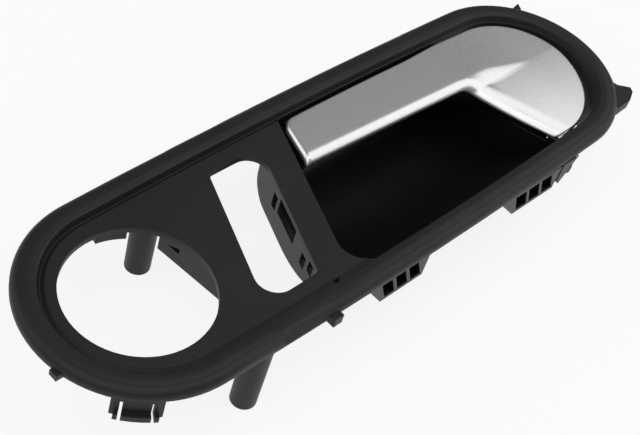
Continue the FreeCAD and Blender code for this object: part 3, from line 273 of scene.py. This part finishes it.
class Nodes:
    """Short way to write a material's node tree."""

    def __init__(self, name):
        self.material = bpy.data.materials.new(name)
        self.material.use_nodes = True
        self.tree = self.material.node_tree
        self.shader = self.tree.nodes["Principled BSDF"]
        self.place = self.add("ShaderNodeTexCoord").outputs["Object"]

    def add(self, kind, **settings):
        node = self.tree.nodes.new(kind)
        for key, value in settings.items():
            setattr(node, key, value)
        return node

    def link(self, output, target):
        self.tree.links.new(output, target)

    def noise(self, scale, detail=2.0, roughness=0.5):
        node = self.add("ShaderNodeTexNoise")
        node.inputs["Scale"].default_value = scale
        node.inputs["Detail"].default_value = detail
        node.inputs["Roughness"].default_value = roughness
        self.link(self.place, node.inputs["Vector"])
        return node.outputs["Fac"]

    def bump(self, height, distance, strength, below=None):
        node = self.add("ShaderNodeBump")
        node.inputs["Strength"].default_value = strength
        node.inputs["Distance"].default_value = distance
        self.link(height, node.inputs["Height"])
        if below is not None:
            self.link(below, node.inputs["Normal"])
        return node.outputs["Normal"]

    def soft_edges(self, radius):
        """Normals rounded over each edge, as on any moulded or stamped piece."""
        node = self.add("ShaderNodeBevel", samples=EDGE_SAMPLES)
        node.inputs["Radius"].default_value = radius
        return node.outputs["Normal"]

    def larger(self, first, second):
        node = self.add("ShaderNodeMath", operation="MAXIMUM")
        self.link(first, node.inputs[0])
        self.link(second, node.inputs[1])
        return node.outputs[0]

    def set_colour(self, factor, colours, stops=NOISE_MIDDLE):
        """Let a noise run from one colour to the other between two of its values."""
        node = self.add("ShaderNodeValToRGB")
        for element, stop, colour in zip(node.color_ramp.elements, stops, colours):
            element.position = stop
            element.color = (*colour, 1)
        self.link(factor, node.inputs["Fac"])
        self.link(node.outputs["Color"], self.shader.inputs["Base Color"])

    def set_roughness(self, factor, low, high):
        """Let a noise's middle range run from one roughness to the other."""
        node = self.add("ShaderNodeMapRange")
        node.inputs["From Min"].default_value, node.inputs["From Max"].default_value = NOISE_MIDDLE
        node.inputs["To Min"].default_value = low
        node.inputs["To Max"].default_value = high
        self.link(factor, node.inputs["Value"])
        self.link(node.outputs["Result"], self.shader.inputs["Roughness"])

    def set_normal(self, normal):
        self.link(normal, self.shader.inputs["Normal"])


def grey(value):
    return (value, value, value)


def moulded_plastic(name, dark, light, roughness, gloss, grain, depth, edge):
    """Grained plastic: colour drifts a little, and the grain also breaks up the gloss."""
    n = Nodes(name)
    n.set_colour(n.noise(DRIFT_SCALE, detail=3.0), (grey(dark), grey(light)), DRIFT_STOPS)
    smoother, rougher = GLOSS_SPREAD
    n.set_roughness(n.noise(grain * GLOSS_GRAIN, detail=3.0), roughness + smoother, roughness + rougher)
    ripple = n.bump(n.noise(grain * RIPPLE_GRAIN), depth * RIPPLE_DEPTH, RIPPLE_STRENGTH, n.soft_edges(edge))
    n.set_normal(n.bump(n.noise(grain, detail=4.0, roughness=0.6), depth, GRAIN_STRENGTH, ripple))
    n.shader.inputs["IOR"].default_value = PLASTIC_IOR
    n.shader.inputs["Specular IOR Level"].default_value = gloss
    return n.material


def silver_paint():
    """Satin metallic paint: fine flakes, a faint orange peel and a thin clear coat."""
    n = Nodes("satin_silver_paint")
    flake = n.noise(FLAKE_SCALE, roughness=0.7)
    n.set_colour(flake, SILVER_COLOURS, SILVER_STOPS)
    n.set_roughness(n.noise(SILVER_GLOSS_SCALE, detail=3.0), *SILVER_ROUGHNESS)
    peel = n.bump(n.noise(PEEL_SCALE), PEEL_DEPTH, PAINT_STRENGTH)
    n.set_normal(n.bump(flake, FLAKE_DEPTH, PAINT_STRENGTH, peel))
    n.shader.inputs["Metallic"].default_value = SILVER_METALLIC
    n.shader.inputs["Coat Weight"].default_value = COAT_WEIGHT
    n.shader.inputs["Coat Roughness"].default_value = COAT_ROUGHNESS
    return n.material


def drawn_steel():
    """Drawn steel with fine lines along the part and patchy gloss."""
    n = Nodes("drawn_steel")
    stretch = n.add("ShaderNodeMapping")
    stretch.inputs["Scale"].default_value = STEEL_STRETCH
    n.link(n.place, stretch.inputs["Vector"])
    n.place = stretch.outputs["Vector"]
    lines = n.noise(STEEL_LINE_SCALE, detail=4.0, roughness=0.6)
    n.set_colour(lines, STEEL_COLOURS)
    n.set_roughness(n.noise(STEEL_LINE_SCALE * STEEL_GLOSS_SHARE), *STEEL_ROUGHNESS)
    n.set_normal(n.bump(lines, STEEL_LINE_DEPTH, strength=0.3, below=n.soft_edges(STEEL_EDGE)))
    n.shader.inputs["Metallic"].default_value = 1.0
    return n.material


def pad_rubber():
    n = Nodes("pad_rubber")
    n.set_colour(n.noise(scale=300.0, detail=3.0), [grey(value) for value in RUBBER_GREYS])
    n.set_roughness(n.noise(scale=1500.0, detail=3.0), *RUBBER_ROUGHNESS)
    grain = n.noise(scale=2600.0, detail=3.0)
    n.set_normal(n.bump(grain, distance=0.00003, strength=0.5, below=n.soft_edges(RUBBER_EDGE)))
    return n.material


def natural_nylon():
    n = Nodes("natural_nylon")
    n.set_colour(n.noise(scale=500.0), NYLON_COLOURS)
    n.set_roughness(n.noise(scale=2000.0), *NYLON_ROUGHNESS)
    grain = n.noise(scale=3000.0)
    n.set_normal(n.bump(grain, distance=0.00001, strength=0.3, below=n.soft_edges(NYLON_EDGE)))
    n.shader.inputs["Subsurface Weight"].default_value = NYLON_GLOW
    n.shader.inputs["Subsurface Radius"].default_value = NYLON_GLOW_RADIUS
    return n.material


def floor_material():
    """White sweep: almost self-lit for the camera and in gloss, yet it still takes a soft shadow."""
    n = Nodes("white_floor")
    n.shader.inputs["Base Color"].default_value = FLOOR_COLOUR
    n.shader.inputs["Roughness"].default_value = FLOOR_ROUGHNESS
    glow = n.add("ShaderNodeEmission")
    glow.inputs["Strength"].default_value = 1.0
    path = n.add("ShaderNodeLightPath").outputs
    seen = n.larger(path["Is Camera Ray"], path["Is Glossy Ray"])
    seen = n.larger(seen, path["Is Transmission Ray"])
    share = n.add("ShaderNodeMath", operation="MULTIPLY")
    share.inputs[1].default_value = FLOOR_GLOW
    n.link(seen, share.inputs[0])
    mix = n.add("ShaderNodeMixShader")
    n.link(share.outputs[0], mix.inputs["Fac"])
    n.link(n.shader.outputs["BSDF"], mix.inputs[1])
    n.link(glow.outputs["Emission"], mix.inputs[2])
    n.link(mix.outputs["Shader"], n.tree.nodes["Material Output"].inputs["Surface"])
    return n.material


def add_floor():
    bpy.ops.mesh.primitive_circle_add(
        vertices=FLOOR_SIDES, radius=FLOOR_RADIUS, fill_type="NGON", location=(0, 0, FLOOR_Z - FLOOR_GAP))
    floor = bpy.context.object
    floor.name = "floor"
    floor.data.materials.append(floor_material())


def add_piece(name, points, faces, material):
    """Object from points in millimetres, smooth apart from its sharp edges."""
    mesh = bpy.data.meshes.new(name)
    mesh.from_pydata([tuple(MM * value for value in point) for point in points], [], faces)
    mesh.validate()
    mesh.materials.append(material)
    mesh.shade_smooth()
    mesh.set_sharp_from_angle(angle=SHARP_ANGLE)
    piece = bpy.data.objects.new(name, mesh)
    bpy.context.collection.objects.link(piece)
    return piece


def clamp(value, low, high):
    return max(low, min(high, value))


def smooth(value):
    """Soft step from 0 to 1."""
    t = clamp(value, 0.0, 1.0)
    return t * t * (3 - 2 * t)


def blend(values_a, values_b, share):
    return [a + share * (b - a) for a, b in zip(values_a, values_b)]


def even(start, end, count):
    """Places that cut a stretch into equal steps, without its two ends."""
    return [start + (end - start) * i / count for i in range(1, count)]


def round_corner(a, b, radius):
    """Distance inside two edges whose corner is rounded."""
    if a < radius and b < radius:
        return radius - math.hypot(radius - a, radius - b)
    return min(a, b)


def far_distance(x, y):
    """Distance inside the far side and the half-round end."""
    if x > DISC_X or (y < 0 and x > CREASE_START_X):
        return DISC_RADIUS - DISC_NEAR_SET * smooth(-y / DISC_NEAR_RUN) - math.hypot(x - DISC_X, y)
    start, end = SKIN_FAR_SET_X
    inset = SKIN_FAR_SET * (1 - smooth((x - start) / (end - start)))
    return SKIN_FAR_Y - inset - x * x / (2 * SKIN_FAR_RADIUS) - y


def left_distance(x, y):
    """Distance inside the slanted left end."""
    return (x - SKIN_LEFT_X - SKIN_LEFT_SLANT * y) / math.hypot(1, SKIN_LEFT_SLANT)


def notch_distance(x, y):
    """Distance outside the finger notch, and the turn from the bar's edge (0) to the plate's (1)."""
    bar = (y - SKIN_NEAR_Y + SKIN_NEAR_TAPER * x) / math.hypot(1, SKIN_NEAR_TAPER)
    plate = (x - NOTCH_X + NOTCH_LEAN * y) / math.hypot(1, NOTCH_LEAN)
    a = bar + NOTCH_CORNER
    b = plate + NOTCH_CORNER
    if a > 0 and b > 0:
        return math.hypot(a, b) - NOTCH_CORNER, math.atan2(b, a) / (math.pi / 2)
    turn = 0.0 if a > b else 1.0
    return max(bar, plate), turn


def skin_inside(x, y):
    """Distance inside the lever's whole outline."""
    edge = round_corner(far_distance(x, y), left_distance(x, y), FAR_LEFT_CORNER)
    return round_corner(edge, notch_distance(x, y)[0], SMALL_CORNER)


def roll(distance, width, depth, reach):
    """Fall of a rolled edge inside the outline; reach 1 turns it all the way down."""
    if distance >= width:
        return 0.0
    turn = reach * (1 - max(distance, 0.0) / width)
    return depth * (1 - math.sqrt(1 - turn ** 2)) / (1 - math.sqrt(1 - reach ** 2))


def crease_top_y(x):
    """Upper edge of the crease: level at first, then down to its foot where the crease ends."""
    run = clamp((x - CREASE_TURN_X) / (CREASE_END_X - CREASE_TURN_X), 0.0, 1.0)
    return CREASE_TOP_Y + run * (CREASE_FOOT_Y - CREASE_TOP_Y)


def face_height(x, y):
    """Height of the face before its edges roll: flat bar, crease that dissolves, falling plate."""
    along = smooth((x - CREASE_START_X) / (CREASE_END_X - CREASE_START_X))
    bar_z = TOP_Z + along * (RIDGE_Z - TOP_Z)
    low_z = PLATE_TOP_Z + along * (RIDGE_Z - PLATE_TOP_Z)
    step = (bar_z - low_z) * smooth((x - CREASE_START_X) / (CREASE_FULL_X - CREASE_START_X))
    top_y = crease_top_y(x)
    if y > top_y:
        return bar_z + (FAR_Z - bar_z) * (y - top_y) / (FAR_SPAN_Y - top_y)
    if y > CREASE_FOOT_Y:
        return bar_z - step * ((top_y - y) / (top_y - CREASE_FOOT_Y)) ** CREASE_CURVE
    below = CREASE_FOOT_Y - y
    return bar_z - step - PLATE_SLOPE * below - PLATE_CURVE * below ** 2


def skin_top(x, y):
    """Height of the face with its edges rolled down towards the outline."""
    far = far_distance(x, y)
    left = left_distance(x, y)
    share = clamp(far / max(far + left, LEAST_SPAN), 0.0, 1.0)
    outer_fall = roll(round_corner(far, left, FAR_LEFT_CORNER), *blend(FAR_ROLL, LEFT_ROLL, share))
    notch, turn = notch_distance(x, y)
    plate_roll = blend(NOTCH_ROLL, TIP_ROLL, clamp(y / TIP_Y, 0.0, 1.0))
    notch_fall = roll(notch, *blend(BAR_ROLL, plate_roll, smooth(turn)))
    return face_height(x, y) - outer_fall - notch_fall


def edge_between(inner, outer):
    """Point of the outline between a point inside and one outside."""
    for _ in range(HALVINGS):
        middle = [(a + b) / 2 for a, b in zip(inner, outer)]
        if skin_inside(*middle) > 0:
            inner = middle
        else:
            outer = middle
    return inner


def skin_rows(near, far, top_y):
    """Places in Y of the rows along one column, closest at the rolled edges and set on the crease."""
    share = min(1.0, (far - near) / FULL_SPAN)
    low = [near + share * step for step in NEAR_STEPS]
    high = [far - share * step for step in FAR_STEPS]
    foot = min(max(CREASE_FOOT_Y, low[-1] + FOOT_GAPS[0] * share), high[0] - FOOT_GAPS[1] * share)
    top = min(max(top_y, foot + TOP_GAPS[0] * share), high[0] - TOP_GAPS[1] * share)
    places = (low[-1], foot, top, high[0])
    rows = list(low)
    for start, end, count in zip(places, places[1:], ROW_COUNTS):
        rows += even(start, end, count) + [end]
    return rows + high[1:]


def skin_columns():
    """X at Y = 0 of the columns from the left end to the tip of the half-round end."""
    before, past = CREASE_MARGINS
    columns = [SKIN_LEFT_X + step for step in LEFT_STEPS]
    x = columns[-1]
    tip = DISC_X + DISC_RADIUS
    while x < tip - TIP_STEPS[0] - LAST_COLUMN_GAP:
        by_crease = CREASE_START_X - before < x < CREASE_FULL_X + past
        x += CREASE_COLUMN_GAP if by_crease else COLUMN_GAP
        columns.append(x)
    return columns + [tip - step for step in TIP_STEPS]


def skin_grid():
    """Points of the lever's face, column by column, each column from the near edge to the far one.

    The columns lean with the left end and straighten out towards the right.
    """
    grid = []
    for base in skin_columns():
        slant = SKIN_LEFT_SLANT * (1 - smooth((base - SKIN_LEFT_X) / SLANT_RUN))
        middle_y = BAR_MIDDLE_Y if base < DISC_X else 0.0
        middle = (base + slant * middle_y, middle_y)
        near = edge_between(middle, (base - slant * OUTSIDE_Y, -OUTSIDE_Y))
        far = edge_between(middle, (base + slant * OUTSIDE_Y, OUTSIDE_Y))
        rows = skin_rows(near[1], far[1], crease_top_y(base))
        grid.append([(base + slant * y, y, skin_top(base + slant * y, y)) for y in rows])
    return grid


def grid_faces(columns, rows):
    """Quads of a grid whose points are numbered column by column."""
    corners = [column * rows + row for column in range(columns - 1) for row in range(rows - 1)]
    return [(a, a + rows, a + rows + 1, a + 1) for a in corners]


def grid_border(columns, rows):
    """Numbers of the grid's outer points in order: near edge, tip, far edge back, left end back."""
    last = (columns - 1) * rows
    near = [column * rows for column in range(columns)]
    tip = [last + row for row in range(1, rows)]
    far = [column * rows + rows - 1 for column in range(columns - 2, -1, -1)]
    left = list(range(rows - 2, 0, -1))
    return near + tip + far + left


def tucked(point):
    """Foot point under an outline point, drawn in along the outline's inward direction."""
    x, y, _ = point
    slope_x = skin_inside(x + PROBE, y) - skin_inside(x - PROBE, y)
    slope_y = skin_inside(x, y + PROBE) - skin_inside(x, y - PROBE)
    size = max(math.hypot(slope_x, slope_y), LEAST_SLOPE)
    height = SKIN_FOOT_Z + SKIN_FOOT_SLOPE * (y - SKIN_NEAR_Y)
    return (x + SKIN_TUCK * slope_x / size, y + SKIN_TUCK * slope_y / size, height)


def lever_skin(material):
    """Silver face of the lever as one skin with rolled edges; it stands for the part's own shell."""
    grid = skin_grid()
    points = [point for column in grid for point in column]
    faces = grid_faces(len(grid), len(grid[0]))
    border = grid_border(len(grid), len(grid[0]))
    foot = len(points)
    points += [tucked(points[index]) for index in border]
    for k, index in enumerate(border):
        after = (k + 1) % len(border)
        faces.append((index, foot + k, foot + after, border[after]))
    skin = add_piece("lever_skin", points, faces, material)
    wall = skin.modifiers.new("thickness", "SOLIDIFY")
    wall.thickness = SKIN_THICKNESS * MM
    wall.offset = -1.0
    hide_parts("lever_shell")
    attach(skin, "lever")


def skirt_line(radius):
    """Plan of one face of the skirt: round the half-round end, then along the far side."""
    line = []
    first, last = SKIRT_DEG
    for degrees in range(first, last + 1, SKIRT_STEP_DEG):
        angle = math.radians(degrees)
        line.append((SKIRT_X + radius * math.cos(angle), radius * math.sin(angle)))
    for step in range(1, SKIRT_SIDE_STEPS + 1):
        x = SKIRT_X + step / SKIRT_SIDE_STEPS * (SKIRT_LEFT_X - SKIRT_X)
        line.append((x, radius + SKIRT_RISE * (SKIRT_X ** 2 - x ** 2)))
    return line


def far_skirt(material):
    """Curved wall under the bezel's opening, from the hinge end to the cup's far wall."""
    inner, outer = [skirt_line(radius) for radius in SKIRT_RADIUS]
    low, high = SKIRT_Z
    points = []
    for (ax, ay), (bx, by) in zip(inner, outer):
        points += [(ax, ay, low), (ax, ay, high), (bx, by, high), (bx, by, low)]
    last = len(points) - SKIRT_CORNERS
    faces = [tuple(range(SKIRT_CORNERS)), tuple(reversed(range(last, len(points))))]
    for here in range(0, last, SKIRT_CORNERS):
        there = here + SKIRT_CORNERS
        for k in range(SKIRT_CORNERS):
            after = (k + 1) % SKIRT_CORNERS
            faces.append((here + k, there + k, there + after, here + after))
    skirt = add_piece("far_skirt", points, faces, material)
    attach(skirt, "housing")


def dress(node, material):
    """Give every face of a CAD node one material through its own slots."""
    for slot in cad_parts[node].material_slots:
        slot.material = material


def dress_all():
    bezel = moulded_plastic("bezel_grain", dark=0.010, light=0.013, roughness=0.48, gloss=0.33,
                            grain=2600.0, depth=0.00004, edge=0.0004)
    # The cup's black is darker than the bezel's: partly its own plastic, partly painted shade for the dim
    # inside of the finger cup.
    cup = moulded_plastic("cup_satin_painted_shade", dark=0.004, light=0.006, roughness=0.42, gloss=0.36,
                          grain=3200.0, depth=0.00002, edge=0.0004)
    carrier = moulded_plastic("carrier_satin", dark=0.004, light=0.006, roughness=0.42, gloss=0.25,
                              grain=3000.0, depth=0.00002, edge=0.0003)
    steel = drawn_steel()
    rubber = pad_rubber()
    nylon = natural_nylon()
    silver = silver_paint()
    finishes = {"bezel": bezel, "finger_cup": cup, "lever_carrier": carrier, "lever_shell": silver,
                "near_bush": nylon, "far_bush": nylon}
    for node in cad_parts:
        default = rubber if node.endswith("pad") else steel
        dress(node, finishes.get(node, default))
    lever_skin(silver)
    far_skirt(bezel)


add_camera()
add_world()
for box_name, values in SOFT_BOXES.items():
    add_soft_box(box_name, *values)
add_floor()
dress_all()
bpy.context.scene.view_settings.view_transform = "Standard"
